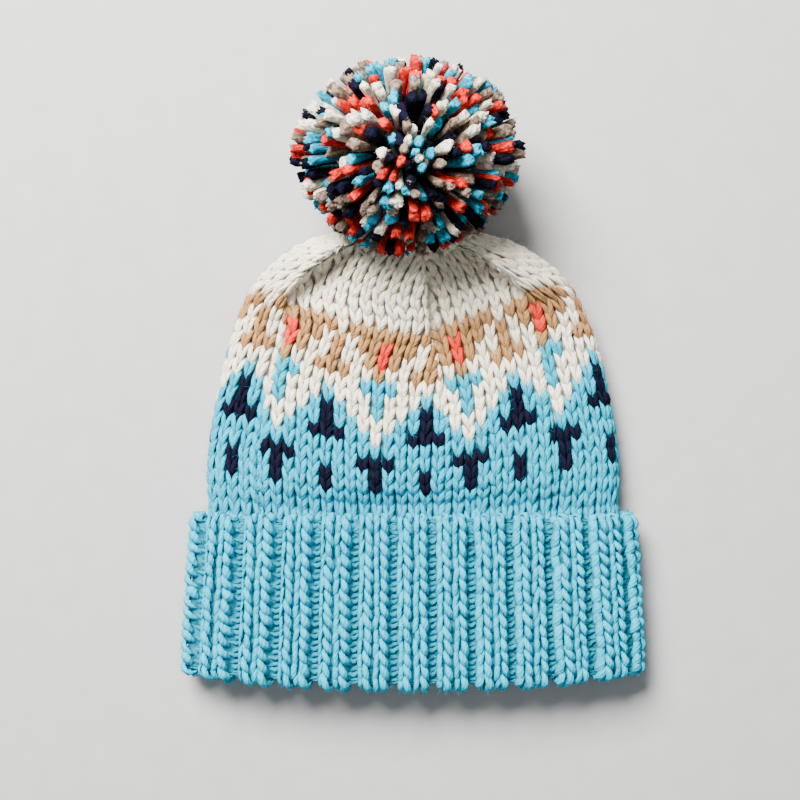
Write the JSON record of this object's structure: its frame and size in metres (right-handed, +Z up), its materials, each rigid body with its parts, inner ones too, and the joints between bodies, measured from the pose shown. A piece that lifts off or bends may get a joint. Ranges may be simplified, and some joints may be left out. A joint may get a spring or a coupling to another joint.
{
  "type": "bobble hat",
  "caption": "Knitted bobble hat lying flat: stocking-stitch crown with a stranded yoke pattern, folded ribbed brim and a pompom of mixed cut yarn.",
  "frame": {"origin": "on the surface that the hat lies on, at the middle of its length and width", "axes": "+X across the hat, +Y from its opening towards the pompom, +Z up from the surface"},
  "size_m": [0.2592, 0.3422, 0.1119],
  "materials": {
    "aqua_yarn": "matte plied wool",
    "cream_yarn": "matte plied wool",
    "cut_yarn": "matte cut wool in aqua, cream, coral, navy and taupe",
    "tie_yarn": "matte plied wool"
  },
  "bodies": {
    "root": {"brim": "aqua_yarn", "crown": "cream_yarn", "pompom": "cut_yarn", "pompom_tie": "tie_yarn"}
  },
  "joints": []
}
